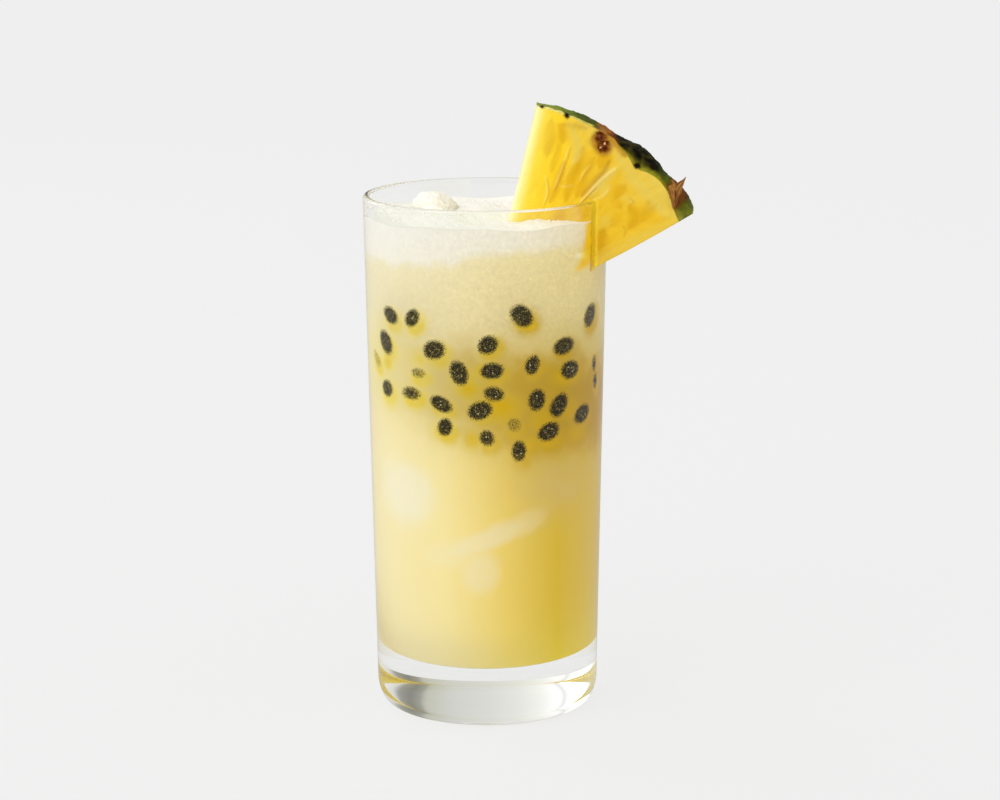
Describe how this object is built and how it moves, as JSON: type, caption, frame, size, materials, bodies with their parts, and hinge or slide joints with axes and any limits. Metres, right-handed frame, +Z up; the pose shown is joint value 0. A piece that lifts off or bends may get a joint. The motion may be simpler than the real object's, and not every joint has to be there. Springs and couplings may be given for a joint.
{
  "type": "passion fruit coconut cooler",
  "caption": "Highball glass of milky yellow drink with foam, ice, passion fruit seeds and a pineapple wedge slit over the rim.",
  "frame": {"origin": "centre of the glass's flat foot", "axes": "+Z up along the glass's axis, -Y towards the viewer, +X towards the side that carries the wedge"},
  "size_m": [0.0862, 0.064, 0.1618],
  "materials": {
    "glass": "clear polished soda-lime glass",
    "drink": "opaque milky yellow liquid seen through the glass, with orange pulp and black seeds",
    "foam": "fine wet white foam",
    "ice": "cloudy ice with foam clinging to it",
    "pineapple": "wet fibrous yellow flesh with a dark green and brown rind"
  },
  "bodies": {
    "root": {"glass": "glass", "drink": "drink", "foam": "foam", "ice_cube": "ice", "pineapple_wedge": "pineapple"}
  },
  "joints": []
}
